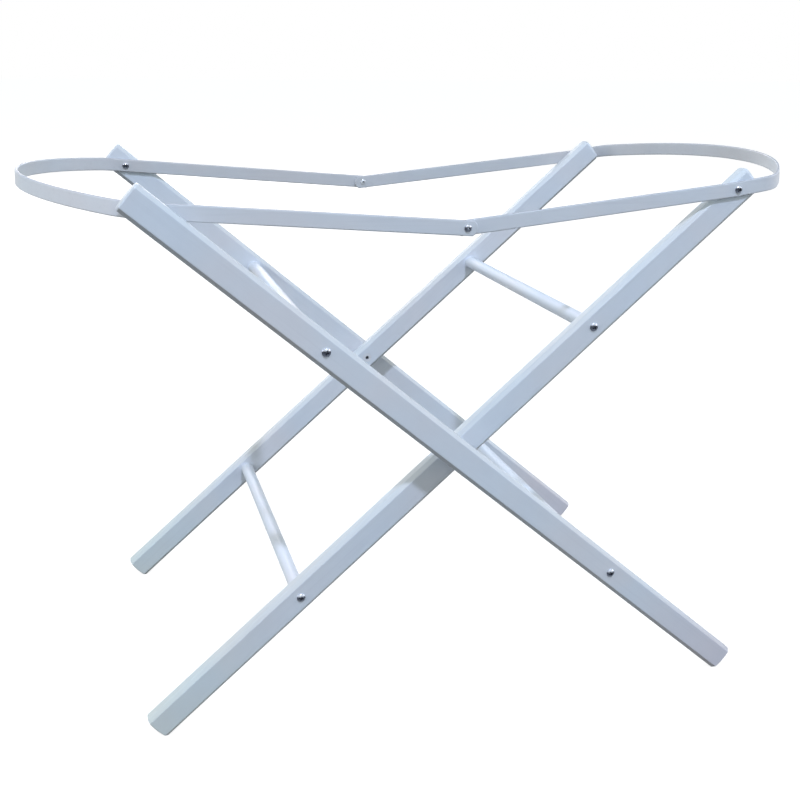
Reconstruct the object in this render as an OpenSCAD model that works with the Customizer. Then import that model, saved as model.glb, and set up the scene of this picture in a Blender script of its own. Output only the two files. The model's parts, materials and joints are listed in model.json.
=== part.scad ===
// Folding stand for a carrying basket.
// An outer and an inner leg frame cross at two pivot bolts, and two bent rails,
// hinged to each other at mid length, hold the crossed frames open.

/* [Legs] */
// Length of a leg above its crossing pivot
leg_upper = 386.5; // [360:0.5:430]
// Length of a leg below its crossing pivot
leg_lower = 391; // [360:0.5:430]
// Depth of a leg, seen from the side
leg_w = 27.5; // [25:0.5:32]
// Thickness of a leg, across the stand
leg_t = 15.5; // [15:0.5:22]
// Chamfer along the long edges of a leg
leg_chamfer = 3.5; // [1:0.25:5]
// Radius of the crowned top of a leg
leg_top_r = 150; // [40:5:300]
// Radius of the crowned foot of a leg
leg_foot_r = 60; // [30:1:120]
// Radius of the corners of a leg's ends
leg_corner_r = 2; // [1.5:0.25:6]
// Lean of the legs from upright when the stand is open
lean = 49.3; // [46:0.1:52]
// Width of the stand over its outer legs
stand_w = 424; // [380:1:480]
// Gap between an outer leg and the inner leg beside it
leg_gap = 13.7; // [12:0.1:18]

/* [Rungs] */
// Diameter of a rung
rung_d = 14; // [12:0.5:16]
// Distance from the crossing up the leg to the upper rungs
upper_rung_r = 176; // [150:1:180]
// Distance from the crossing down the leg to the lower rungs
lower_rung_r = 204; // [150:1:280]

/* [Rails] */
// Distance from the top of a leg down to its rail pivot
rail_pivot_end = 21.5; // [18:0.5:30]
// Offset of the inner legs' rail pivots from the leg's centre line, towards its upper edge
right_pivot_off = 4.5; // [0:0.25:6]
// Height of the rail strip
rail_h = 14; // [10:0.5:16]
// Thickness of the rail strip
rail_t = 2.5; // [2:0.25:4]
// Drop from the left rail's pivots to the mid hinges when the stand is open
hinge_drop = 23.5; // [18:0.5:30]
// Reach of the left rail past its pivot
left_reach = 108; // [95:0.5:130]
// Reach of the right rail past its pivot
right_reach = 113.5; // [100:0.5:140]
// Radius of the left rail's two bends
left_bend_r = 35; // [25:1:60]
// Radius of the right rail's two bends
right_bend_r = 25; // [20:1:50]
// Upward tilt of the left rail's loop over its arms
left_tilt = 1.2; // [0:0.1:4]
// Upward tilt of the right rail's loop over its arms
right_tilt = 2.9; // [0:0.1:4]
// Length of a rail beyond its mid hinge
rail_overhang = 10; // [8:0.5:14]
// Gap between the two rails at their mid hinges
rail_play = 0.6; // [0.4:0.05:1]

/* [Rung and rail screws] */
// Diameter of a screw shank
screw_d = 4; // [3:0.25:5]
// Diameter of a rung screw's domed head
rung_head_d = 8; // [6.5:0.25:9]
// Diameter of a rail screw's domed head
rail_head_d = 7; // [6.5:0.25:9]
// Height of a domed screw head
screw_head_h = 2.4; // [1.8:0.1:3]
// Length of a rung screw under its head
rung_screw_len = 45; // [35:1:60]
// Depth of a rail screw in its leg
rail_screw_depth = 12; // [9:0.5:13]
// Width of a slot of the cross recess
recess_w = 1.1; // [0.8:0.1:1.4]
// Length of a slot of the cross recess
recess_len = 4.4; // [3:0.1:5]
// Depth of the cross recess
recess_depth = 1.5; // [0.8:0.1:1.7]

/* [Crossing pivots] */
// Diameter of the pivot bolt's shank
bolt_d = 6; // [5:0.25:8]
// Diameter of the pivot bolt's flush head
bolt_head_d = 11; // [9.5:0.25:13]
// Height of the pivot bolt's flush head
bolt_head_h = 3.5; // [2.5:0.25:5]
// Width across the flats of the bolt's hexagon socket
socket_w = 4; // [2.5:0.25:5]
// Depth of the hexagon socket
socket_depth = 2.2; // [1.5:0.1:2.4]
// Diameter of the threaded insert in the outer leg
insert_d = 10; // [9:0.25:12]
// Length of the threaded insert
insert_len = 12; // [10:0.5:13]
// Diameter of the spacer between the crossed legs
spacer_d = 15; // [12:0.5:19]

/* [Mid hinges] */
// Diameter of the hinge screw's shank
hinge_d = 4; // [3:0.25:5]
// Diameter of the heads of the hinge screw and its nut
hinge_head_d = 6.5; // [6:0.25:8]
// Height of the heads of the hinge screw and its nut
hinge_head_h = 1.8; // [1.4:0.1:2.4]
// Width across the flats of the hexagon sockets in those heads
hinge_socket_w = 2.5; // [1.5:0.25:3]
// Depth of the hexagon sockets in those heads
hinge_socket_depth = 2.5; // [1.5:0.25:4]

/* [Fits] */
// Radial clearance of a shank in its hole
fit_gap = 0.05; // [0.02:0.01:0.08]
// Gap between faces that slide past each other
slide_gap = 0.25; // [0.2:0.05:0.4]

/* [Hidden] */

$fn = 96;
// Overrun of a cut past the surface that it opens
over = 1;
// Straight run that a rail keeps beyond a screw head or a leg top
bend_clear = 1.5;
// Stand-out of a rounded corner over the sides that it joins
corner_lap = 0.02;
// Radius of a rounded arm end, over half the height of the strip
arm_end_bow = 1.08;

// Sides of the stand: front faces -Y, rear faces +Y
FRONT = -1;
REAR = 1;

// Layers across the stand, from the outer face inwards
outer_face_y = stand_w / 2;
outer_inner_y = outer_face_y - leg_t;
inner_outer_y = outer_inner_y - leg_gap;
inner_face_y = inner_outer_y - leg_t;
outer_leg_y = outer_face_y - leg_t / 2;
inner_leg_y = inner_outer_y - leg_t / 2;

// Mid lines of the rails: a rail lies on its legs at the pivots, and its arms meet at the mid hinges
left_mid_y = outer_inner_y - slide_gap - rail_t / 2;
right_mid_y = inner_outer_y + slide_gap + rail_t / 2;
left_hinge_y = (outer_inner_y + inner_outer_y + rail_play + rail_t) / 2;
right_hinge_y = left_hinge_y - rail_play - rail_t;

// Leg ends: corner centres across the leg, and along it from its crossing pivot
corner_off = leg_w / 2 - leg_corner_r;
top_corner = leg_upper - leg_top_r + sqrt(pow(leg_top_r - leg_corner_r, 2) - corner_off * corner_off);
foot_corner = leg_lower - leg_foot_r + sqrt(pow(leg_foot_r - leg_corner_r, 2) - corner_off * corner_off);

// Rail pivots and mid hinges from the crossing, as [x, z] with the stand open
pivot_r = leg_upper - rail_pivot_end;
left_pivot = [-pivot_r * sin(lean), pivot_r * cos(lean)];
right_pivot = [
    pivot_r * sin(lean) - right_pivot_off * cos(lean),
    pivot_r * cos(lean) + right_pivot_off * sin(lean)
];
mid_hinge = [0, left_pivot[1] - hinge_drop];

// Rail arms between pivot and mid hinge: length, slope and rounded end
left_arm = norm(left_pivot - mid_hinge);
right_arm = norm(right_pivot - mid_hinge);
left_sag = asin((left_pivot[1] - mid_hinge[1]) / left_arm);
right_sag = asin((right_pivot[1] - mid_hinge[1]) / right_arm);
arm_end_r = arm_end_bow * rail_h / 2;

// A rail stays straight past its pivot as far as the screw head or the leg top reaches
leg_top_swing = norm([top_corner - pivot_r, corner_off + right_pivot_off]) + leg_corner_r;
left_straight = rail_head_d / 2 + bend_clear;
right_straight = max(leg_top_swing, rail_pivot_end) + bend_clear;

// Crossing point of the legs: the feet stand at z = 0 and the rail ends balance about x = 0
left_end_x = left_pivot[0] - end_x(left_reach, left_sag, left_tilt);
right_end_x = right_pivot[0] + end_x(right_reach, right_sag, right_tilt);
crossing_x = -(left_end_x + right_end_x) / 2;
crossing_z = foot_corner * cos(lean) + corner_off * sin(lean) + leg_corner_r + corner_lap;

// Run of a rail's outermost point from its pivot: the low edge of the loop's end
function end_x(reach, sag, tilt) =
    (reach + rail_t / 2) * (cos(sag) - tan(tilt) * sin(sag)) + rail_h / 2 / cos(tilt) * sin(sag);

// Rectangle with chamfered corners, centred
module chamfered_section(width, height, chamfer) {
    half_w = width / 2;
    half_h = height / 2;
    polygon([
        [half_w, half_h - chamfer], [half_w - chamfer, half_h],
        [chamfer - half_w, half_h], [-half_w, half_h - chamfer],
        [-half_w, chamfer - half_h], [chamfer - half_w, -half_h],
        [half_w - chamfer, -half_h], [half_w, chamfer - half_h]
    ]);
}

// Round hole or pin along Y between two values of y
module along_y(y_from, y_to, r) {
    translate([0, min(y_from, y_to), 0])
        rotate([-90, 0, 0])
            cylinder(h = abs(y_to - y_from), r = r);
}

// Turns children drawn along +Z to point along +Y or -Y
module facing(direction) {
    rotate([-direction * 90, 0, 0])
        children();
}

// Frames of the four moving groups, in the open position
module in_outer_frame() {
    translate([crossing_x, 0, crossing_z])
        rotate([0, -lean, 0])
            children();
}

module in_inner_frame() {
    translate([crossing_x, 0, crossing_z])
        rotate([0, lean, 0])
            children();
}

module in_left_rail() {
    translate([crossing_x + left_pivot[0], 0, crossing_z + left_pivot[1]])
        rotate([0, left_sag, 0])
            mirror([1, 0, 0])
                children();
}

module in_right_rail() {
    translate([crossing_x + right_pivot[0], 0, crossing_z + right_pivot[1]])
        rotate([0, -right_sag, 0])
            children();
}

// Leg along Z with its crossing pivot at the origin, long edges chamfered and both ends crowned
module leg_blank() {
    intersection() {
        translate([0, 0, -leg_lower - over])
            linear_extrude(leg_lower + leg_upper + 2 * over)
                chamfered_section(leg_w, leg_t, leg_chamfer);
        rotate([90, 0, 0])
            linear_extrude(leg_t + 2 * over, center = true)
                leg_outline();
    }
}

module leg_outline() {
    rotate(90)
        rounded_end(leg_upper, leg_top_r, top_corner, corner_off, leg_corner_r, 0);
    rotate(-90)
        rounded_end(leg_lower, leg_foot_r, foot_corner, corner_off, leg_corner_r, 0);
    translate([-leg_w / 2 - over, -foot_corner])
        square([leg_w + 2 * over, foot_corner + top_corner]);
}

// Crowned end of an outline along +X with two rounded corners, grown by a margin
module rounded_end(tip, crown_r, corner_x, corner_y, corner_r, margin) {
    crown_angle = atan2(corner_y, corner_x - tip + crown_r);
    wedge = [2 * crown_r * cos(crown_angle), 2 * crown_r * sin(crown_angle)];
    translate([tip - crown_r, 0])
        intersection() {
            circle(crown_r + margin);
            polygon([[0, 0], [wedge.x, -wedge.y], [2 * crown_r, 0], wedge]);
        }
    for (side = [FRONT, REAR])
        translate([corner_x, side * corner_y])
            circle(corner_r + margin + corner_lap);
}

// Clearance holes through a leg for the screws of its two rungs
module rung_screw_holes() {
    for (z = [upper_rung_r, -lower_rung_r])
        translate([0, 0, z])
            along_y(-leg_t / 2 - over, leg_t / 2 + over, screw_d / 2 + fit_gap);
}

// Outer leg: blind holes in its inside face for the pivot insert and the rail screw
module outer_leg(side) {
    inside = -side * leg_t / 2;
    color("whitesmoke")
        in_outer_frame()
            translate([0, side * outer_leg_y, 0])
                difference() {
                    leg_blank();
                    rung_screw_holes();
                    along_y(inside - side * over, inside + side * insert_len, insert_d / 2 + fit_gap);
                    translate([0, 0, pivot_r])
                        along_y(inside - side * over, inside + side * rail_screw_depth,
                            screw_d / 2 + fit_gap);
                }
}

// Inner leg: pivot bore sunk for the bolt head, and a blind hole in its outside face for the rail screw
module inner_leg(side) {
    inside = -side * leg_t / 2;
    outside = side * leg_t / 2;
    color("whitesmoke")
        in_inner_frame()
            translate([0, side * inner_leg_y, 0])
                difference() {
                    leg_blank();
                    rung_screw_holes();
                    along_y(-leg_t / 2 - over, leg_t / 2 + over, bolt_d / 2 + fit_gap);
                    along_y(inside - side * over, inside + side * (bolt_head_h + slide_gap),
                        bolt_head_d / 2 + slide_gap);
                    translate([-right_pivot_off, 0, pivot_r])
                        along_y(outside + side * over, outside - side * rail_screw_depth,
                            screw_d / 2 + fit_gap);
                }
}

// Round rung between two leg faces, bored at both ends for its screws
module rung(z, face_y) {
    bored = rung_screw_len - leg_t;
    translate([0, 0, z])
        difference() {
            along_y(-face_y, face_y, rung_d / 2);
            for (side = [FRONT, REAR])
                along_y(side * (face_y + over), side * (face_y - bored), screw_d / 2 + fit_gap);
        }
}

module outer_rung(z) {
    color("white")
        in_outer_frame()
            rung(z, outer_inner_y);
}

module inner_rung(z) {
    color("white")
        in_inner_frame()
            rung(z, inner_face_y);
}

// Domed head standing on z = 0
module domed_head(d, h) {
    rim = h / 4;
    rise = h - rim;
    dome_r = (d * d / 4 + rise * rise) / (2 * rise);
    rotate_extrude()
        intersection() {
            square([d / 2, h]);
            translate([0, h - dome_r])
                circle(dome_r);
        }
}

// Domed screw with a cross recess, its head on z = 0 and its shank below
module domed_screw(head_d, length, turn) {
    difference() {
        union() {
            domed_head(head_d, screw_head_h);
            translate([0, 0, -length])
                cylinder(h = length, d = screw_d);
        }
        for (a = [0, 90])
            rotate([0, 0, turn + a])
                translate([-recess_len / 2, -recess_w / 2, screw_head_h - recess_depth])
                    cube([recess_len, recess_w, recess_depth + over]);
    }
}

// Screw through a leg's outward face into the end of a rung
module outer_rung_screw(side, z, turn) {
    color("silver")
        in_outer_frame()
            translate([0, side * outer_face_y, z])
                facing(side)
                    domed_screw(rung_head_d, rung_screw_len, turn);
}

module inner_rung_screw(side, z, turn) {
    color("silver")
        in_inner_frame()
            translate([0, side * inner_outer_y, z])
                facing(side)
                    domed_screw(rung_head_d, rung_screw_len, turn);
}

// Screw from inside the left rail into an outer leg
module left_rail_screw(side, turn) {
    head_y = left_mid_y - rail_t / 2 - slide_gap;
    color("silver")
        in_outer_frame()
            translate([0, side * head_y, pivot_r])
                facing(-side)
                    domed_screw(rail_head_d, outer_inner_y + rail_screw_depth - head_y, turn);
}

// Screw from outside the right rail into an inner leg
module right_rail_screw(side, turn) {
    head_y = right_mid_y + rail_t / 2 + slide_gap;
    color("silver")
        in_inner_frame()
            translate([-right_pivot_off, side * head_y, pivot_r])
                facing(side)
                    domed_screw(rail_head_d, head_y - inner_outer_y + rail_screw_depth, turn);
}

// Pivot bolt with a flush head in the inner leg, threaded into the outer leg's insert
module pivot_bolt(side) {
    length = outer_inner_y + insert_len - inner_face_y - bolt_head_h;
    color("gainsboro")
        in_outer_frame()
            translate([0, side * inner_face_y, 0])
                facing(-side)
                    difference() {
                        union() {
                            translate([0, 0, -bolt_head_h])
                                cylinder(h = bolt_head_h, d = bolt_head_d);
                            translate([0, 0, -bolt_head_h - length])
                                cylinder(h = length + over, d = bolt_d);
                        }
                        translate([0, 0, -socket_depth])
                            cylinder(h = socket_depth + over, d = socket_w / cos(30), $fn = 6);
                    }
}

// Threaded insert, flush with the inside face of an outer leg
module pivot_insert(side) {
    color("darkgoldenrod")
        in_outer_frame()
            difference() {
                along_y(side * outer_inner_y, side * (outer_inner_y + insert_len), insert_d / 2);
                along_y(side * (outer_inner_y - over), side * (outer_inner_y + insert_len + over),
                    bolt_d / 2 + fit_gap);
            }
}

// Spacer ring on the pivot bolt, between the crossed legs
module pivot_spacer(side) {
    color("ghostwhite")
        in_outer_frame()
            difference() {
                along_y(side * (inner_outer_y + slide_gap), side * outer_inner_y, spacer_d / 2);
                along_y(side * (inner_outer_y - over), side * (outer_inner_y + over),
                    bolt_d / 2 + fit_gap);
            }
}

// Plan of a bent rail's mid line, grown by a margin: arms that lean in or out, two bends and a crowned end
module rail_plan(mid_y, arm_slope, straight, reach, bend_r, margin, back) {
    run = reach - straight;
    bend_y = mid_y - bend_r;
    crown_r = (run * run + bend_y * bend_y - bend_r * bend_r) / (2 * (run - bend_r));
    side_y = mid_y + margin;
    back_y = side_y + back * arm_slope;
    rounded_end(reach, crown_r, straight, bend_y, bend_r, margin);
    polygon([
        [straight, side_y], [0, side_y], [-back, back_y],
        [-back, -back_y], [0, -side_y], [straight, -side_y]
    ]);
}

// Bent rail along +X from its pivots, bored for the leg screws and the mid hinges
module bent_rail(arm_len, mid_y, hinge_y, straight, reach, bend_r, tilt) {
    arm_end_x = -arm_len - rail_overhang;
    arm_slope = (hinge_y - mid_y) / arm_len;
    back = -arm_end_x + over;
    bore_y = max(mid_y, hinge_y) + rail_t;
    head_room = rail_h + reach * tan(tilt);
    difference() {
        intersection() {
            linear_extrude(2 * head_room, center = true)
                difference() {
                    rail_plan(mid_y, arm_slope, straight, reach, bend_r, rail_t / 2, back);
                    rail_plan(mid_y, arm_slope, straight, reach, bend_r, -rail_t / 2, back + over);
                }
            rotate([90, 0, 0])
                linear_extrude(2 * bore_y, center = true)
                    rail_side(arm_end_x, reach, tilt, head_room);
        }
        along_y(-bore_y, bore_y, screw_d / 2 + fit_gap);
        translate([-arm_len, 0, 0])
            along_y(-bore_y, bore_y, hinge_d / 2 + fit_gap);
    }
}

// Side outline of a rail: rounded arm ends, and past the pivot a loop that tilts up
module rail_side(arm_end_x, reach, tilt, head_room) {
    round_x = arm_end_x + arm_end_r;
    half_h = rail_h / 2;
    mitre = half_h * tan(tilt / 2);
    tip = (reach + rail_t) * [cos(tilt), sin(tilt)];
    lift = half_h * [-sin(tilt), cos(tilt)];
    intersection() {
        polygon([
            [arm_end_x, half_h], [-mitre, half_h], tip + lift,
            tip - lift, [mitre, -half_h], [arm_end_x, -half_h]
        ]);
        union() {
            translate([round_x, 0])
                circle(arm_end_r);
            translate([round_x, -head_room])
                square([reach + rail_t + over - round_x, 2 * head_room]);
        }
    }
}

module left_rail() {
    color("white")
        in_left_rail()
            bent_rail(left_arm, left_mid_y, left_hinge_y, left_straight, left_reach, left_bend_r, left_tilt);
}

module right_rail() {
    color("white")
        in_right_rail()
            bent_rail(right_arm, right_mid_y, right_hinge_y, right_straight, right_reach, right_bend_r,
                right_tilt);
}

// Half of a mid hinge's fastener: a socketed domed head on z = 0 and a stub to the plane between the rails
module hinge_half() {
    stub = rail_t + (rail_play + slide_gap) / 2;
    difference() {
        union() {
            domed_head(hinge_head_d, hinge_head_h);
            translate([0, 0, -stub])
                cylinder(h = stub, d = hinge_d);
        }
        translate([0, 0, hinge_head_h - hinge_socket_depth])
            cylinder(h = hinge_socket_depth + over, d = hinge_socket_w / cos(30), $fn = 6);
    }
}

// Hinge screw, its head on the outside of the left rail
module hinge_screw(side) {
    color("silver")
        in_left_rail()
            translate([-left_arm, side * (left_hinge_y + rail_t / 2 + slide_gap), 0])
                facing(side)
                    hinge_half();
}

// Sleeve nut of the hinge screw, its head on the inside of the right rail
module hinge_nut(side) {
    color("silver")
        in_right_rail()
            translate([-right_arm, side * (right_hinge_y - rail_t / 2 - slide_gap), 0])
                facing(-side)
                    hinge_half();
}

outer_leg(FRONT);  // outer_front_leg
outer_leg(REAR);  // outer_rear_leg
outer_rung(upper_rung_r);  // outer_upper_rung
outer_rung(-lower_rung_r);  // outer_lower_rung
outer_rung_screw(FRONT, upper_rung_r, 20);  // outer_front_upper_screw
outer_rung_screw(FRONT, -lower_rung_r, 65);  // outer_front_lower_screw
outer_rung_screw(REAR, upper_rung_r, 50);  // outer_rear_upper_screw
outer_rung_screw(REAR, -lower_rung_r, 5);  // outer_rear_lower_screw
pivot_bolt(FRONT);  // front_pivot_bolt
pivot_bolt(REAR);  // rear_pivot_bolt
pivot_insert(FRONT);  // front_pivot_insert
pivot_insert(REAR);  // rear_pivot_insert
pivot_spacer(FRONT);  // front_pivot_spacer
pivot_spacer(REAR);  // rear_pivot_spacer
left_rail_screw(FRONT, 35);  // left_rail_front_screw
left_rail_screw(REAR, 75);  // left_rail_rear_screw
inner_leg(FRONT);  // inner_front_leg
inner_leg(REAR);  // inner_rear_leg
inner_rung(upper_rung_r);  // inner_upper_rung
inner_rung(-lower_rung_r);  // inner_lower_rung
inner_rung_screw(FRONT, upper_rung_r, 80);  // inner_front_upper_screw
inner_rung_screw(FRONT, -lower_rung_r, 30);  // inner_front_lower_screw
inner_rung_screw(REAR, upper_rung_r, 10);  // inner_rear_upper_screw
inner_rung_screw(REAR, -lower_rung_r, 55);  // inner_rear_lower_screw
right_rail_screw(FRONT, 15);  // right_rail_front_screw
right_rail_screw(REAR, 60);  // right_rail_rear_screw
left_rail();
hinge_screw(FRONT);  // front_hinge_screw
hinge_screw(REAR);  // rear_hinge_screw
right_rail();
hinge_nut(FRONT);  // front_hinge_nut
hinge_nut(REAR);  // rear_hinge_nut
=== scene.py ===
import bpy
import bmesh
import json
import math
from mathutils import Matrix, Vector

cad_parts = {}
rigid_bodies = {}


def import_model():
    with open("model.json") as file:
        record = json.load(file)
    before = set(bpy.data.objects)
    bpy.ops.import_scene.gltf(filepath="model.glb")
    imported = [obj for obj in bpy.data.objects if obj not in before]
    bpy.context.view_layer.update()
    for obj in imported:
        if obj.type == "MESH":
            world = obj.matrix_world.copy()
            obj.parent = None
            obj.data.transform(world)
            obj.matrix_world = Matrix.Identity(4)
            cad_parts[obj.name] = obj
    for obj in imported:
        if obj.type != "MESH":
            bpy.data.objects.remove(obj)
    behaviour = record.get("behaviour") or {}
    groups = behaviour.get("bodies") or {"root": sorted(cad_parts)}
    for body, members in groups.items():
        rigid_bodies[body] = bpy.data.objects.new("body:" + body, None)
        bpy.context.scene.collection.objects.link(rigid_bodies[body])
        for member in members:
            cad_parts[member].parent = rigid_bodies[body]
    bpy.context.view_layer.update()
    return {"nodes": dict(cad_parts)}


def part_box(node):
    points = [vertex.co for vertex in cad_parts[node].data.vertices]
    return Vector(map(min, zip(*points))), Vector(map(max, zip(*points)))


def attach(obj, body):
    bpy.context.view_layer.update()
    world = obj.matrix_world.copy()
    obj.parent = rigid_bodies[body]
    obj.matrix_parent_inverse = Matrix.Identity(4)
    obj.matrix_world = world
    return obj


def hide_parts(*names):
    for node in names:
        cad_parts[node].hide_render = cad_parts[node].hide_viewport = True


for old in list(bpy.data.objects):
    bpy.data.objects.remove(old)
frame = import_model()

# Sizes of the part in metres and radians, equal to those in its CAD source

# Legs: length above and below the crossing, width, thickness, lean from upright
LEG_UPPER, LEG_LOWER, LEG_W, LEG_T = 0.3865, 0.391, 0.0275, 0.0155
LEAN = math.radians(49.3)
# Chamfer of a leg's long edges, radii of its crowned top and foot, radius of the corners beside a crown
LEG_CHAMFER, LEG_TOP_R, LEG_FOOT_R, LEG_CORNER_R = 0.0035, 0.150, 0.060, 0.002
# Width over the outer legs, and the gap between an outer leg and the inner leg beside it
STAND_W, LEG_GAP = 0.424, 0.0137
# Rail pivots' distance from the leg tops, the right ones' offset across their legs, the mid hinges' drop
RAIL_PIVOT_END, RIGHT_PIVOT_OFF, HINGE_DROP = 0.0215, 0.0045, 0.0235
# Rails: height and thickness of the strip, play between them, overhang past the mid hinges
RAIL_H, RAIL_T, RAIL_PLAY, RAIL_OVERHANG = 0.014, 0.0025, 0.0006, 0.010
# Loop ends: reach past the pivots, radius of the bends, rise over the arms
LEFT_REACH, LEFT_BEND_R, LEFT_TILT = 0.108, 0.035, math.radians(1.2)
RIGHT_REACH, RIGHT_BEND_R, RIGHT_TILT = 0.1135, 0.025, math.radians(2.9)
# Heads of the rail screws and pivot bolts, and clearances
RAIL_HEAD_D, BEND_CLEAR, SLIDE_GAP = 0.007, 0.0015, 0.00025
BOLT_HEAD_D, BOLT_HEAD_H, SOCKET_W = 0.011, 0.0035, 0.004

# Forms that only this script has, in metres

# Rounding of the creases beside a leg's chamfers, and easing of the leg ends
LEG_CREASE_R, OUTER_TOP_EASE, INNER_TOP_EASE, LEG_FOOT_EASE = 0.0016, 0.002, 0.0048, 0.0014
# Rounding of a rail's long edges, and the radius of its arm ends over half its height
RAIL_EDGE_R, ARM_END_BOW = 0.0011, 1.08
ARM_END_R = ARM_END_BOW * RAIL_H / 2
# Gap round a pivot bolt's head, and the bevel of its seat
SEAT_GAP, SEAT_LIP = 0.00006, 0.0001

# Places worked out from the sizes; x and z are measured from the crossing of the legs

SIN_L, COS_L = math.sin(LEAN), math.cos(LEAN)
PIVOT_R = LEG_UPPER - RAIL_PIVOT_END
LEFT_PIVOT = Vector((-PIVOT_R * SIN_L, 0, PIVOT_R * COS_L))
RIGHT_PIVOT = Vector((PIVOT_R * SIN_L - RIGHT_PIVOT_OFF * COS_L, 0,
                      PIVOT_R * COS_L + RIGHT_PIVOT_OFF * SIN_L))
MID_HINGE = Vector((0, 0, LEFT_PIVOT.z - HINGE_DROP))
LEFT_ARM, RIGHT_ARM = (LEFT_PIVOT - MID_HINGE).length, (RIGHT_PIVOT - MID_HINGE).length
LEFT_SAG = math.asin((LEFT_PIVOT.z - MID_HINGE.z) / LEFT_ARM)
RIGHT_SAG = math.asin((RIGHT_PIVOT.z - MID_HINGE.z) / RIGHT_ARM)
# Layers across the stand
OUTER_INNER_Y = STAND_W / 2 - LEG_T
INNER_OUTER_Y = OUTER_INNER_Y - LEG_GAP
OUTER_LEG_Y, INNER_LEG_Y = OUTER_INNER_Y + LEG_T / 2, INNER_OUTER_Y - LEG_T / 2
LEFT_MID_Y = OUTER_INNER_Y - SLIDE_GAP - RAIL_T / 2
RIGHT_MID_Y = INNER_OUTER_Y + SLIDE_GAP + RAIL_T / 2
LEFT_HINGE_Y = (OUTER_INNER_Y + INNER_OUTER_Y + RAIL_PLAY + RAIL_T) / 2
RIGHT_HINGE_Y = LEFT_HINGE_Y - RAIL_PLAY - RAIL_T
# Straight stretch past the pivots: the left rail's clears a screw head, the right one's the leg tops' swing
CORNER_OFF = LEG_W / 2 - LEG_CORNER_R
TOP_CORNER = LEG_UPPER - LEG_TOP_R + math.sqrt((LEG_TOP_R - LEG_CORNER_R) ** 2 - CORNER_OFF ** 2)
LEG_TOP_SWING = math.hypot(TOP_CORNER - PIVOT_R, CORNER_OFF + RIGHT_PIVOT_OFF) + LEG_CORNER_R
LEFT_STRAIGHT = RAIL_HEAD_D / 2 + BEND_CLEAR
RIGHT_STRAIGHT = max(LEG_TOP_SWING, RAIL_PIVOT_END) + BEND_CLEAR
# The crossing lies on the front pivot bolt's axis
bolt_low, bolt_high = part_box("front_pivot_bolt")
CROSSING = Vector(((bolt_low.x + bolt_high.x) / 2, 0, (bolt_low.z + bolt_high.z) / 2))


# Shader nodes

# Places of the sockets of a mix node in its colour mode
MIX_FAC, MIX_FIRST, MIX_SECOND, MIX_RESULT = 0, 6, 7, 2


def bare_tree(owner):
    """The emptied node tree of a material or a world."""
    owner.use_nodes = True
    owner.node_tree.nodes.clear()
    return owner.node_tree


def add(tree, kind, **inputs):
    """A new node. Each input, named with _ for a space, is a socket to link or a value to set."""
    made = tree.nodes.new(kind)
    for name, value in inputs.items():
        connect(tree, value, made.inputs[name.replace("_", " ")])
    return made


def connect(tree, value, socket):
    """Link an output to an input socket, or set a plain value on it."""
    if isinstance(value, bpy.types.NodeSocket):
        tree.links.new(value, socket)
    else:
        socket.default_value = value


def new_material(name):
    """A material with its node tree and its Principled shader."""
    material = bpy.data.materials.new(name)
    tree = bare_tree(material)
    shader = add(tree, "ShaderNodeBsdfPrincipled")
    add(tree, "ShaderNodeOutputMaterial", Surface=shader.outputs[0])
    return material, tree, shader


def noise(tree, vector, scale, detail, rough):
    """Noise from 0 to 1; scale is in cells per unit of the vector."""
    made = add(tree, "ShaderNodeTexNoise", Vector=vector, Scale=scale, Detail=detail, Roughness=rough)
    return made.outputs["Fac"]


def ramp(tree, fac, stops):
    """A colour ramp over fac, from stops of position and colour."""
    made = add(tree, "ShaderNodeValToRGB", Fac=fac)
    elements = made.color_ramp.elements
    while len(elements) < len(stops):
        elements.new(0.5)
    for element, (position, colour) in zip(elements, stops):
        element.position = position
        element.color = (*colour, 1)
    return made.outputs[0]


def span(tree, value, low, high, from_low=0.0, from_high=1.0):
    """The value's range from_low to from_high, stretched to low to high and held at its ends."""
    made = add(tree, "ShaderNodeMapRange", Value=value, From_Min=from_low, From_Max=from_high,
               To_Min=low, To_Max=high)
    return made.outputs[0]


def maths(tree, operation, first, second):
    """One operation, such as MULTIPLY or MAXIMUM, on two values."""
    made = tree.nodes.new("ShaderNodeMath")
    made.operation = operation
    connect(tree, first, made.inputs[0])
    connect(tree, second, made.inputs[1])
    return made.outputs[0]


def mix(tree, fac, first, second, mode="MIX"):
    """Two colours mixed by fac."""
    made = tree.nodes.new("ShaderNodeMix")
    made.data_type = "RGBA"
    made.blend_type = mode
    connect(tree, fac, made.inputs[MIX_FAC])
    for colour, place in ((first, MIX_FIRST), (second, MIX_SECOND)):
        linked = isinstance(colour, bpy.types.NodeSocket)
        connect(tree, colour if linked else (*colour, 1), made.inputs[place])
    return made.outputs[MIX_RESULT]


def tinted(tree, share, colour, tint):
    """A colour that is multiplied by a tint, as far as share says."""
    return mix(tree, share, colour, mix(tree, 1.0, colour, tint, "MULTIPLY"))


def bump(tree, height, strength, distance, **normal):
    """A normal bumped by height, on top of another Normal where one is given."""
    made = add(tree, "ShaderNodeBump", Height=height, Strength=strength, Distance=distance, **normal)
    return made.outputs[0]


def coordinates(tree, output="Object"):
    """Object, a place in metres, and Normal move with a piece; Generated is the direction in a world."""
    return tree.nodes.new("ShaderNodeTexCoord").outputs[output]


def axes(tree, vector):
    """The X, Y and Z of a vector, by name."""
    return add(tree, "ShaderNodeSeparateXYZ", Vector=vector).outputs


def upward(tree):
    """The upward part of a face's normal while the stand is open: 1 where it looks up, -1 for down."""
    return axes(tree, coordinates(tree, "Normal"))["Z"]


# Materials

WHITE = (1.0, 1.0, 1.0)
PAINT_COOL, PAINT, PAINT_WARM = (0.668, 0.748, 0.850), (0.690, 0.745, 0.825), (0.712, 0.738, 0.800)
PAINT_SMOOTH, PAINT_ROUGH, PAINT_SPECULAR = 0.36, 0.50, 0.42
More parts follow.
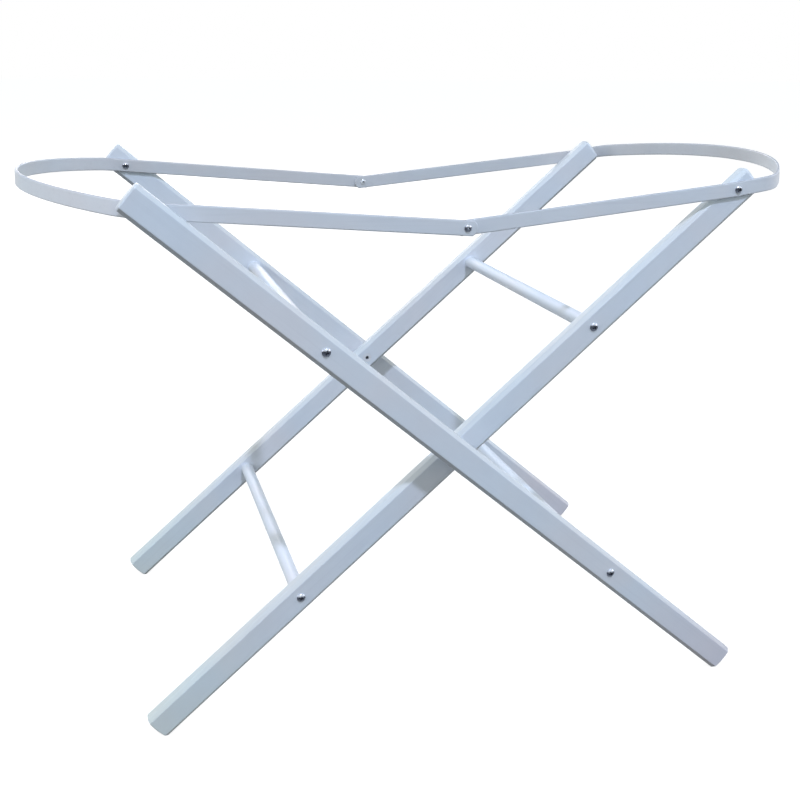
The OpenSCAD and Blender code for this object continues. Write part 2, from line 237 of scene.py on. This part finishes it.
# The range that most values of a noise lie in
NOISE_LOW, NOISE_HIGH = 0.3, 0.7
# Cells of the grain per metre, across a piece and along it, and how strongly its lines show
GRAIN_ACROSS, GRAIN_ALONG, GRAIN_SHARE = 260.0, 5.0, 0.8
# Share of the lower leg's length at which the foot tint starts
FOOT_FROM = 0.6
# Where the painted shade on the rails' rear arms starts and is full:
# in Y towards the rear, and in X inwards from the left loop
REAR_FROM, REAR_FULL, INWARD_FROM, INWARD_FULL = 0.05, 0.13, -0.34, -0.27
# Distances from a bolt's axis, over the socket's width, at which the painted shade in its socket ends
# and its paint is full
SOCKET_END, SOCKET_PAINTED = 0.50, 0.56


def paint(name, along, turn_y=0.0, tint=WHITE, facing_shades=(), more_tints=()):
    """White satin paint over timber: mottled colour, faint grain lines along an axis and a sprayed skin.
    turn_y: turn about Y that brings a leaning piece upright. facing_shades: painted shade by the way a face
    looks; for each, the upward part of a face's normal where it starts, the part where it is full, and its
    colour. more_tints: for each, a function of the tree and of the turned coordinates that gives the tint's
    share, and its colour, such as a foot tint and the painted shade on the rails' rear arms."""
    material, tree, shader = new_material(name)
    turned = add(tree, "ShaderNodeMapping", Vector=coordinates(tree), Rotation=(0, turn_y, 0)).outputs[0]
    stretch = [GRAIN_ALONG if axis == along else GRAIN_ACROSS for axis in "xyz"]
    stretched = add(tree, "ShaderNodeMapping", Vector=turned, Scale=stretch).outputs[0]
    patch = noise(tree, turned, scale=11, detail=2.0, rough=0.45)
    drift = noise(tree, turned, scale=34, detail=3.0, rough=0.55)
    peel = noise(tree, turned, scale=900, detail=2.0, rough=0.5)
    grain = noise(tree, stretched, scale=1.0, detail=4.0, rough=0.6)
    cool, middle, warm = ([value * share for value, share in zip(plain, tint)]
                          for plain in (PAINT_COOL, PAINT, PAINT_WARM))
    colour = ramp(tree, patch, [(0.32, cool), (0.52, middle), (0.70, warm)])
    shade = ramp(tree, drift, [(NOISE_LOW, (0.965, 0.965, 0.97)), (NOISE_HIGH, WHITE)])
    colour = mix(tree, 1.0, colour, shade, "MULTIPLY")
    lines = ramp(tree, grain, [(NOISE_LOW, (0.955, 0.955, 0.96)), (0.46, WHITE)])
    colour = mix(tree, GRAIN_SHARE, colour, lines, "MULTIPLY")
    for share_of, more_tint in more_tints:
        colour = tinted(tree, share_of(tree, turned), colour, more_tint)
    # Painted shade on faces by the way they look up or down
    for starts, full, facing_tint in facing_shades:
        colour = tinted(tree, span(tree, upward(tree), 0.0, 1.0, starts, full), colour, facing_tint)
    grained = bump(tree, grain, strength=0.10, distance=0.0006)
    connect(tree, colour, shader.inputs["Base Color"])
    lustre = span(tree, drift, PAINT_SMOOTH, PAINT_ROUGH, NOISE_LOW, NOISE_HIGH)
    connect(tree, lustre, shader.inputs["Roughness"])
    connect(tree, bump(tree, peel, strength=0.06, distance=0.0004, Normal=grained), shader.inputs["Normal"])
    shader.inputs["Specular IOR Level"].default_value = PAINT_SPECULAR
    return material


def toward_foot(tree, coords):
    """Share of a leg's foot tint: full at the foot."""
    crossing_up = CROSSING.z * COS_L
    height = axes(tree, coords)["Z"]
    return span(tree, height, 0.0, 1.0, crossing_up - FOOT_FROM * LEG_LOWER, crossing_up - LEG_LOWER)


def on_rear_arms(tree, coords):
    """Share of painted shade on the rails: full on the rear arms from the left legs on, none on the front.
    """
    place = axes(tree, coords)
    behind = span(tree, place["Y"], 0.0, 1.0, REAR_FROM, REAR_FULL)
    inward = span(tree, place["X"], 0.0, 1.0, INWARD_FROM, INWARD_FULL)
    return maths(tree, "MULTIPLY", behind, inward)


def socketed_paint(name, tint):
    """Paint on a pivot bolt's head, with painted shade inside the socket round the crossing's axis."""
    material = paint(name, "y", tint=tint)
    tree = material.node_tree
    shader = next(node for node in tree.nodes if node.type == "BSDF_PRINCIPLED")
    coat = shader.inputs["Base Color"].links[0].from_socket
    coords = coordinates(tree)
    from_axis = add(tree, "ShaderNodeMapping", Vector=coords, Location=(-CROSSING.x, 0, -CROSSING.z),
                    Scale=(1, 0, 1))
    radius = tree.nodes.new("ShaderNodeVectorMath")
    radius.operation = "LENGTH"
    connect(tree, from_axis.outputs[0], radius.inputs[0])
    outside = span(tree, radius.outputs["Value"], 0.0, 1.0,
                   SOCKET_W * SOCKET_END, SOCKET_W * SOCKET_PAINTED)
    # Painted shade in the socket: near black, mottled
    recess_shade = noise(tree, coords, scale=900, detail=2.0, rough=0.5)
    socket_shade = ramp(tree, recess_shade, [(NOISE_LOW, (0.03, 0.035, 0.045)), (NOISE_HIGH, (0.07, 0.08, 0.10))])
    connect(tree, mix(tree, outside, socket_shade, coat), shader.inputs["Base Color"])
    return material


def zinc(name, dark, light, smooth, rough, room_reflection=None):
    """Zinc plate: patchy lustre from dark to light, fine turning marks and painted shade in the low places.
    The last argument gives stops for a painted reflection of a room, as a ramp over the way a face looks,
    from 0 for down to 1 for up."""
    material, tree, shader = new_material(name)
    coords = coordinates(tree)
    patch = noise(tree, coords, scale=420, detail=3.0, rough=0.6)
    fine = noise(tree, coords, scale=2600, detail=2.0, rough=0.5)
    # Painted shade in the low places, from ambient occlusion
    open_sky = add(tree, "ShaderNodeAmbientOcclusion", Distance=0.002)
    open_sky.only_local = True
    recess_shade = ramp(tree, open_sky.outputs["AO"], [(0.30, (0.03, 0.03, 0.04)), (0.68, WHITE)])
    colour = ramp(tree, patch, [(NOISE_LOW, dark), (NOISE_HIGH, light)])
    colour = mix(tree, 1.0, colour, recess_shade, "MULTIPLY")
    # A painted reflection of a room, by the way a face looks
    if room_reflection:
        up = span(tree, upward(tree), 0.0, 1.0, -1.0, 1.0)
        colour = mix(tree, 1.0, colour, ramp(tree, up, room_reflection), "MULTIPLY")
    connect(tree, colour, shader.inputs["Base Color"])
    connect(tree, span(tree, fine, smooth, rough, NOISE_LOW, NOISE_HIGH), shader.inputs["Roughness"])
    connect(tree, bump(tree, fine, strength=0.12, distance=0.0002), shader.inputs["Normal"])
    shader.inputs["Metallic"].default_value = 1.0
    return material


def brass(name):
    """Turned brass with a patchy lustre."""
    material, tree, shader = new_material(name)
    patch = noise(tree, coordinates(tree), scale=300, detail=3.0, rough=0.6)
    colour = ramp(tree, patch, [(NOISE_LOW, (0.52, 0.38, 0.16)), (NOISE_HIGH, (0.72, 0.54, 0.25))])
    connect(tree, colour, shader.inputs["Base Color"])
    connect(tree, span(tree, patch, low=0.22, high=0.40), shader.inputs["Roughness"])
    shader.inputs["Metallic"].default_value = 1.0
    return material


def nylon(name):
    """Natural nylon with a moulded skin."""
    material, tree, shader = new_material(name)
    coords = coordinates(tree)
    patch = noise(tree, coords, scale=160, detail=3.0, rough=0.5)
    fine = noise(tree, coords, scale=1400, detail=2.0, rough=0.5)
    colour = ramp(tree, patch, [(NOISE_LOW, (0.70, 0.71, 0.70)), (NOISE_HIGH, (0.78, 0.79, 0.79))])
    connect(tree, colour, shader.inputs["Base Color"])
    connect(tree, span(tree, fine, low=0.40, high=0.55), shader.inputs["Roughness"])
    connect(tree, bump(tree, fine, strength=0.08, distance=0.0002), shader.inputs["Normal"])
    return material


# Painted shade by the way a face looks: on legs on faces that look up or down, on rails on faces that look
# up
LEG_FACING_SHADE = ((0.30, 0.50, (0.92, 0.92, 0.88)), (-0.30, -0.50, (0.66, 0.66, 0.65)))
RAIL_TOP_SHADE = ((0.35, 0.90, (0.62, 0.62, 0.63)),)
# Screw heads: a painted reflection of a room, grey below, dark in the middle, bright above
SCREW_ROOM_REFLECTION = [(0.12, (0.24, 0.25, 0.27)), (0.40, (0.09, 0.095, 0.11)), (0.58, (0.09, 0.095, 0.11)),
           (0.74, WHITE)]

# Legs and rails carry painted shade on faces that look up, and legs on faces that look down
OUTER_PAINT = paint("paint_outer_legs", "z", LEAN, facing_shades=LEG_FACING_SHADE,
                    more_tints=[(toward_foot, (0.98, 0.87, 0.86))])
INNER_PAINT = paint("paint_inner_legs", "z", -LEAN, facing_shades=LEG_FACING_SHADE,
                    more_tints=[(toward_foot, (0.95, 0.98, 0.91))])
# The rails' rear arms are darkened by painted shade
RAIL_PAINT = paint("paint_rails", "x", tint=(0.97, 0.955, 0.94), facing_shades=RAIL_TOP_SHADE,
                   more_tints=[(on_rear_arms, (0.87, 0.85, 0.83))])
RUNG_PAINT = paint("paint_rungs", "y", tint=(1.02, 1.02, 1.02))
BOLT_PAINT = socketed_paint("paint_bolts", (0.98, 0.98, 0.98))
ZINC = zinc("zinc_plate", dark=(0.50, 0.56, 0.66), light=(0.68, 0.75, 0.86), smooth=0.10, rough=0.24,
            room_reflection=SCREW_ROOM_REFLECTION)
DULL_ZINC = zinc("dull_zinc_plate", dark=(0.36, 0.40, 0.44), light=(0.48, 0.52, 0.57), smooth=0.45,
                 rough=0.60)
BRASS, NYLON = brass("turned_brass"), nylon("moulded_nylon")

# A node takes the first material whose word ends its name; legs and rails are hidden by their pieces
FINISHES = (("_rung", RUNG_PAINT), ("_bolt", BOLT_PAINT), ("_insert", BRASS), ("_spacer", NYLON),
            ("_nut", DULL_ZINC), ("_screw", ZINC), ("_leg", OUTER_PAINT), ("_rail", RAIL_PAINT))
for node_name, node_obj in frame["nodes"].items():
    finish = next(material for ending, material in FINISHES if node_name.endswith(ending))
    node_obj.data.materials.clear()
    node_obj.data.materials.append(finish)


# Mesh pieces

# Degrees between the faces beside an edge from which it is shaded as sharp, on legs and on rails
LEG_SHARP, RAIL_SHARP = 30, 50


def add_piece(name, bm, material, body, node, sharp_from):
    """A piece of painted wood that rides on a body and stands for a CAD node."""
    bmesh.ops.recalc_face_normals(bm, faces=bm.faces)
    mesh = bpy.data.meshes.new(name)
    bm.to_mesh(mesh)
    bm.free()
    for face in mesh.polygons:
        face.use_smooth = True
    mesh.set_sharp_from_angle(angle=math.radians(sharp_from))
    mesh.materials.append(material)
    obj = bpy.data.objects.new(name, mesh)
    bpy.context.scene.collection.objects.link(obj)
    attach(obj, body)
    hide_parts(node)
    even = obj.modifiers.new("even_normals", "WEIGHTED_NORMAL")
    even.keep_sharp = True


def put(bm, turn_y, place):
    """Turn a mesh about Y, then move it to its place."""
    matrix = Matrix.Translation(place) @ Matrix.Rotation(turn_y, 4, "Y")
    bmesh.ops.transform(bm, matrix=matrix, verts=bm.verts)


def bridge(bm, low, high, skip=()):
    """Quads between two closed loops of as many points, apart from those at the places in skip."""
    for i in range(len(low)):
        j = (i + 1) % len(low)
        if i not in skip:
            bm.faces.new((low[i], low[j], high[j], high[i]))


# Legs

CREASE_STEPS, FACE_STEPS, EASE_STEPS, SEAT_STEPS = 4, 6, 7, 48
# A band of the broad face, this far up and down from the crossing, holds the pivot bolt's seat
SEAT_BAND = 0.0115
# Heights of the rings on a leg's straight part, from the crossing
LEG_RINGS = (-0.38, -0.3, -0.2, -0.1, -SEAT_BAND, SEAT_BAND, 0.1, 0.2, 0.3, 0.375)


def leg_section(inset):
    """Half of a leg's chamfered section, shrunk by inset, on the +Y side from +X to -X, creases rounded."""
    half_w, half_t = LEG_W / 2 - inset, LEG_T / 2 - inset
    chamfer = LEG_CHAMFER - inset * (2 - math.sqrt(2))
    radius, turn = LEG_CREASE_R, math.pi / 4
    tangent = radius * math.tan(turn / 2)
    edge = []
    for centre_x, centre_y, first in ((half_w - radius, half_t - chamfer - tangent, 0.0),
                                      (half_w - chamfer - tangent, half_t - radius, turn)):
        for i in range(CREASE_STEPS + 1):
            angle = first + turn * i / CREASE_STEPS
            edge.append((centre_x + radius * math.cos(angle), centre_y + radius * math.sin(angle)))
    face_x = edge[-1][0]
    face = [(face_x - 2 * face_x * i / FACE_STEPS, half_t) for i in range(1, FACE_STEPS)]
    return edge + face + [(-x, y) for x, y in reversed(edge)]


def leg_plan(top_ease):
    """Rings of a leg from foot to top: inset, height, and the crown's radius with the end's sign."""
    ends = []
    for end, length, crown_r, ease in ((-1, LEG_LOWER, LEG_FOOT_R, LEG_FOOT_EASE),
                                       (1, LEG_UPPER, LEG_TOP_R, top_ease)):
        rows = []
        for i in range(EASE_STEPS + 1):
            angle = math.pi / 2 * i / EASE_STEPS
            height = length - ease + ease * math.sin(angle)
            rows.append((ease * (1 - math.cos(angle)), end * height, end * crown_r))
        ends.append(rows)
    foot, top = ends
    return foot[::-1] + [(0.0, z, 0.0) for z in LEG_RINGS] + top


def leg_ring(bm, inset, z, crown):
    """One ring of a leg, bowed where it lies on a crowned end."""
    half = leg_section(inset)
    ring = []
    for x, y in half + [(x, -y) for x, y in reversed(half)]:
        back = math.copysign(abs(crown) - math.sqrt(crown ** 2 - x ** 2), crown) if crown else 0.0
        ring.append(bm.verts.new((x, y, z - back)))
    return ring


def sink_seat(bm, side, opening):
    """Close an opening in the broad face on side, -1 or 1 in Y, by a flat with a bolt seat sunk in it.
    opening: pairs of points, one for each edge of the opening."""
    seat_r, depth = BOLT_HEAD_D / 2 + SEAT_GAP, BOLT_HEAD_H + SLIDE_GAP
    angles = [2 * math.pi * i / SEAT_STEPS for i in range(SEAT_STEPS)]
    loops = []
    for radius, inward in ((seat_r + SEAT_LIP, 0), (seat_r, SEAT_LIP), (seat_r, depth)):
        y = side * (LEG_T / 2 - inward)
        circle = [(radius * math.cos(angle), y, radius * math.sin(angle)) for angle in angles]
        loops.append([bm.verts.new(point) for point in circle])
    mouth = loops[0]
    edges = [bm.edges.new(pair) for pair in zip(mouth, mouth[1:] + mouth[:1])]
    edges += [bm.edges.get(pair) for pair in opening]
    bmesh.ops.triangle_fill(bm, use_beauty=True, use_dissolve=False, edges=edges, normal=(0, side, 0))
    for low, high in zip(loops, loops[1:]):
        bridge(bm, low, high)
    bm.faces.new(loops[-1])


def leg_mesh(top_ease, seat_side=0):
    """Upright leg with chamfered long edges and eased, crowned ends; the crossing is at the origin.
    seat_side: the face, -1 or 1 in Y, that is sunk for the pivot bolt's head, or 0 for none."""
    bm = bmesh.new()
    plan = leg_plan(top_ease)
    rings = [leg_ring(bm, *row) for row in plan]
    last = len(rings[0]) - 1
    face_from = 2 * CREASE_STEPS + 1
    face_to = face_from + FACE_STEPS
    if seat_side < 0:
        face_from, face_to = last - face_to, last - face_from
    opening = []
    for row, low, high in zip(plan, rings, rings[1:]):
        skip = range(face_from, face_to) if seat_side and row[1] == -SEAT_BAND else ()
        bridge(bm, low, high, skip)
        for i in skip:
            opening += [(low[i], low[i + 1]), (high[i], high[i + 1])]
        if skip:
            opening += [(low[face_from], high[face_from]), (low[face_to], high[face_to])]
    for ring in (rings[0], rings[-1]):
        for i in range(last // 2):
            bm.faces.new((ring[i], ring[i + 1], ring[last - 1 - i], ring[last - i]))
    if seat_side:
        sink_seat(bm, seat_side, opening)
    return bm


for side, word in ((-1, "front"), (1, "rear")):
    outer = leg_mesh(OUTER_TOP_EASE)
    put(outer, -LEAN, CROSSING + Vector((0, side * OUTER_LEG_Y, 0)))
    add_piece(f"outer_{word}_leg_timber", outer, OUTER_PAINT, "outer_frame", f"outer_{word}_leg", LEG_SHARP)
    inner = leg_mesh(INNER_TOP_EASE, -side)
    put(inner, LEAN, CROSSING + Vector((0, side * INNER_LEG_Y, 0)))
    add_piece(f"inner_{word}_leg_timber", inner, INNER_PAINT, "inner_frame", f"inner_{word}_leg", LEG_SHARP)


# Rails

END_STEPS, ARM_STEPS, STRAIGHT_STEPS, BEND_STEPS, CROWN_STEPS, SECTION_STEPS = 12, 20, 4, 20, 24, 28
# How far round its rounded end an arm's first section lies; at 90 degrees it would have no height
END_TURN = math.radians(88)


def rail_path(arm, mid_y, hinge_y, straight, reach, bend_r):
    """Stations of a bent rail's mid line in plan, as x, y and outward normal, from arm end to arm end.
    The arms lean from mid_y at the pivots, at x = 0, to hinge_y at the mid hinges."""
    half = []

    def along_arm(x):
        lean = (hinge_y - mid_y) / arm * max(0.0, -x)
        half.append((x, -mid_y - lean, 0, -1))

    def along_arc(centre_x, centre_y, radius, first, last, steps):
        for i in range(1, steps + 1):
            angle = first + (last - first) * i / steps
            out_x, out_y = math.cos(angle), math.sin(angle)
            half.append((centre_x + radius * out_x, centre_y + radius * out_y, out_x, out_y))

    for i in range(END_STEPS + 1):
        along_arm(-arm - RAIL_OVERHANG + ARM_END_R * (1 - math.sin(END_TURN * (1 - i / END_STEPS))))
    for low, high, steps in ((half[-1][0], 0.0, ARM_STEPS), (0.0, straight, STRAIGHT_STEPS)):
        for i in range(1, steps + 1):
            along_arm(low + (high - low) * i / steps)
    # A wide arc closes the loop and runs on smoothly from the bends
    run, bend_y = reach - straight, mid_y - bend_r
    crown_r = (run ** 2 + bend_y ** 2 - bend_r ** 2) / (2 * (run - bend_r))
    crown_turn = math.atan2(bend_y, crown_r - run)
    along_arc(straight, -bend_y, bend_r, -math.pi / 2, -crown_turn, BEND_STEPS)
    along_arc(reach - crown_r, 0.0, crown_r, -crown_turn, 0.0, CROWN_STEPS)
    return half + [(x, -y, out_x, -out_y) for x, y, out_x, out_y in reversed(half[:-1])]


def rail_mesh(arm, mid_y, hinge_y, straight, reach, bend_r, tilt):
    """Bent strip with rounded edges and arm ends. Its pivots are at x = 0 and its arms lie towards -X.
    Past the pivots it rises by tilt."""
    bm = bmesh.new()
    edge_r, half_t, half_h = RAIL_EDGE_R, RAIL_T / 2, RAIL_H / 2
    end_centre = -arm - RAIL_OVERHANG + ARM_END_R
    rings = []
    for x, y, out_x, out_y in rail_path(arm, mid_y, hinge_y, straight, reach, bend_r):
        past = max(0.0, end_centre - x)
        height = min(half_h, math.sqrt(ARM_END_R ** 2 - past ** 2))
        face = []
        for i in range(SECTION_STEPS + 1):
            z = height * math.sin(math.pi * (i / SECTION_STEPS - 0.5))
            into_edge = max(0.0, abs(z) - (half_h - edge_r))
            if past:
                into_edge = max(into_edge, math.hypot(past, z) - (ARM_END_R - edge_r))
            face.append((half_t - edge_r + math.sqrt(edge_r ** 2 - min(into_edge, edge_r) ** 2), z))
        rise = math.tan(tilt) * max(0.0, x)
        outline = face + [(-out, z) for out, z in reversed(face)]
        rings.append([bm.verts.new((x + out_x * out, y + out_y * out, z + rise)) for out, z in outline])
    for low, high in zip(rings, rings[1:]):
        bridge(bm, low, high)
    bm.faces.new(rings[0])
    bm.faces.new(rings[-1])
    return bm


left = rail_mesh(LEFT_ARM, LEFT_MID_Y, LEFT_HINGE_Y, LEFT_STRAIGHT, LEFT_REACH, LEFT_BEND_R, LEFT_TILT)
bmesh.ops.transform(left, matrix=Matrix.Scale(-1, 4, (1, 0, 0)), verts=left.verts)
put(left, LEFT_SAG, CROSSING + LEFT_PIVOT)
add_piece("left_rail_strip", left, RAIL_PAINT, "left_rail", "left_rail", RAIL_SHARP)
right = rail_mesh(RIGHT_ARM, RIGHT_MID_Y, RIGHT_HINGE_Y, RIGHT_STRAIGHT, RIGHT_REACH, RIGHT_BEND_R,
                  RIGHT_TILT)
put(right, -RIGHT_SAG, CROSSING + RIGHT_PIVOT)
add_piece("right_rail_strip", right, RAIL_PAINT, "right_rail", "right_rail", RAIL_SHARP)


# Floor and world: one look to the eye and in reflections, another as light on the stand

def seen_direct(tree):
    """1 for camera, glossy and transmission rays, 0 for the rays that carry light between dull surfaces."""
    path = tree.nodes.new("ShaderNodeLightPath").outputs
    shiny = maths(tree, "MAXIMUM", path["Is Glossy Ray"], path["Is Transmission Ray"])
    return maths(tree, "MAXIMUM", path["Is Camera Ray"], shiny)


def choose(tree, fac, first, second):
    """The first shader where fac is 0, and the second where it is 1."""
    made = tree.nodes.new("ShaderNodeMixShader")
    for value, socket in zip((fac, first, second), made.inputs):
        connect(tree, value, socket)
    return made.outputs[0]


def diffuse(tree, grey):
    """A dull grey shader."""
    return add(tree, "ShaderNodeBsdfDiffuse", Color=(grey, grey, grey, 1)).outputs[0]


# The floor seen: its own glow and a grey that takes the shadows; and the grey that throws light back
FLOOR_GLOW, FLOOR_WHITE, FLOOR_BOUNCE = 0.85, 0.34, 0.03
# Half of the floor's side, and how far it lies below the feet
FLOOR_HALF, FLOOR_BELOW = 30.0, 0.0004
FLOOR_CORNERS = [(x * FLOOR_HALF, y * FLOOR_HALF, 0) for x, y in ((-1, -1), (1, -1), (1, 1), (-1, 1))]
floor_material = bpy.data.materials.new("pale_floor")
floor_tree = bare_tree(floor_material)
glow = add(floor_tree, "ShaderNodeEmission", Strength=FLOOR_GLOW).outputs[0]
pale = floor_tree.nodes.new("ShaderNodeAddShader")
connect(floor_tree, diffuse(floor_tree, FLOOR_WHITE), pale.inputs[0])
connect(floor_tree, glow, pale.inputs[1])
floor_look = choose(floor_tree, seen_direct(floor_tree), diffuse(floor_tree, FLOOR_BOUNCE), pale.outputs[0])
add(floor_tree, "ShaderNodeOutputMaterial", Surface=floor_look)
floor_mesh = bpy.data.meshes.new("floor")
floor_mesh.from_pydata(FLOOR_CORNERS, [], [(0, 1, 2, 3)])
floor_mesh.materials.append(floor_material)
floor = bpy.data.objects.new("floor", floor_mesh)
floor.location.z = -FLOOR_BELOW
bpy.context.scene.collection.objects.link(floor)

# Strength of the world's fill light at the horizon and overhead, and its colour
FILL_LOW, FILL_HIGH, FILL_COLOUR = 1.11, 0.12, (0.915, 1.01, 1.02, 1)
world = bpy.data.worlds.new("studio")
bpy.context.scene.world = world
sky = bare_tree(world)
fill_strength = span(sky, axes(sky, coordinates(sky, "Generated"))["Z"], FILL_LOW, FILL_HIGH)
fill = add(sky, "ShaderNodeBackground", Color=FILL_COLOUR, Strength=fill_strength).outputs[0]
white = add(sky, "ShaderNodeBackground", Color=(*WHITE, 1), Strength=1.0).outputs[0]
add(sky, "ShaderNodeOutputWorld", Surface=choose(sky, seen_direct(sky), fill, white))


# Lamps and camera

# What the lamps look at, and how far they stand from it for a direction of length 1
LAMP_AIM, LAMP_AWAY = Vector((0, 0, 0.30)), 5.0
COOL_LIGHT, SOFT_LIGHT = (0.713, 0.785, 0.98), (1.0, 0.96, 0.97)
# Each lamp's name, direction from what it looks at, size in metres, power in watts and colour
LAMPS = (("key", (0.015, -0.52, 0.854), 0.3, 150.0, COOL_LIGHT),
         ("left_side", (-0.93, -0.15, 0.33), 2.5, 66.0, SOFT_LIGHT),
         ("right_side", (0.93, -0.15, 0.33), 2.5, 44.0, SOFT_LIGHT),
         ("back", (0.0, 0.98, 0.20), 2.5, 55.0, SOFT_LIGHT))
for name, direction, size, power, colour in LAMPS:
    light = bpy.data.lights.new(name, "AREA")
    light.shape = "DISK"
    light.size = size
    light.energy = power
    light.color = colour
    lamp = bpy.data.objects.new(name, light)
    bpy.context.scene.collection.objects.link(lamp)
    lamp.location = LAMP_AIM + Vector(direction) * LAMP_AWAY
    lamp.rotation_mode = "QUATERNION"
    lamp.rotation_quaternion = (-Vector(direction)).to_track_quat("-Z", "Y")

# The camera that was fitted to the photograph: its axes and place, and its lens in millimetres
CAMERA_RIGHT = Vector((0.9611652, -0.2758317, 0.0088478))
CAMERA_UP = Vector((0.0754703, 0.2935521, 0.9529593))
CAMERA_BACK = Vector((-0.2654537, -0.9152836, 0.3029692))
CAMERA_AT = Vector((-0.3233486, -1.0928709, 0.6218745))
CAMERA_SENSOR, CAMERA_LENS = 36.0, 48.4886
camera_data = bpy.data.cameras.new("camera")
camera_data.sensor_width = CAMERA_SENSOR
camera_data.lens = CAMERA_LENS
camera = bpy.data.objects.new("camera", camera_data)
bpy.context.scene.collection.objects.link(camera)
camera_turn = Matrix((CAMERA_RIGHT, CAMERA_UP, CAMERA_BACK)).transposed().to_4x4()
camera.matrix_world = Matrix.Translation(CAMERA_AT) @ camera_turn
bpy.context.scene.camera = camera
bpy.context.scene.view_settings.view_transform = "Standard"
